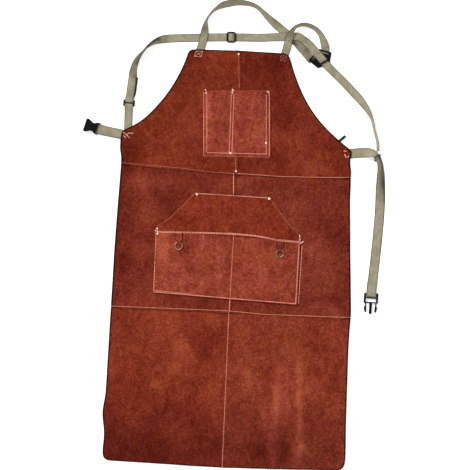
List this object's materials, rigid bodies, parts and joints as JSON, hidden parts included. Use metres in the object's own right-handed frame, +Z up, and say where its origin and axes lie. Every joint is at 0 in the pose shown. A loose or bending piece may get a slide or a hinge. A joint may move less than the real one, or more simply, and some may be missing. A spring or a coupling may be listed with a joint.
{
  "type": "leather welding apron",
  "caption": "Brown split-leather welding apron lying flat, with chest and waist pockets, cross-back webbing straps, black plastic sliders and a side-release buckle.",
  "frame": {"origin": "on the floor, under the middle of the apron's bounding box as it lies", "axes": "+Y from the hem towards the bib, +X to the right in the picture, +Z up from the floor"},
  "size_m": [0.7815, 1.1995, 0.0281],
  "materials": {
    "leather": "brown suede split leather, matt",
    "pocket_leather": "lighter brown suede split leather, matt",
    "webbing": "beige ribbed webbing",
    "black_tape": "black woven tape",
    "black_plastic": "moulded, satin",
    "ring_metal": "plated steel wire"
  },
  "bodies": {
    "root": {"bib_left": "leather", "bib_right": "leather", "waist_left": "leather", "waist_right": "leather", "skirt_left": "leather", "skirt_right": "leather", "chest_pocket": "pocket_leather", "hand_pocket": "pocket_leather", "tool_pocket": "pocket_leather", "ring_tab_left": "leather", "ring_tab_right": "leather", "ring_left": "ring_metal", "ring_right": "ring_metal", "shoulder_strap_left": "webbing", "shoulder_strap_right": "webbing", "neck_strap": "webbing", "back_strap": "webbing", "side_strap": "webbing", "waist_strap_left": "webbing", "waist_strap_right": "webbing", "edge_tab": "black_tape", "back_keeper": "black_plastic", "neck_slider": "black_plastic", "side_slider": "black_plastic", "buckle_socket": "black_plastic", "buckle_plug": "black_plastic", "waist_ring": "black_plastic"}
  },
  "joints": []
}
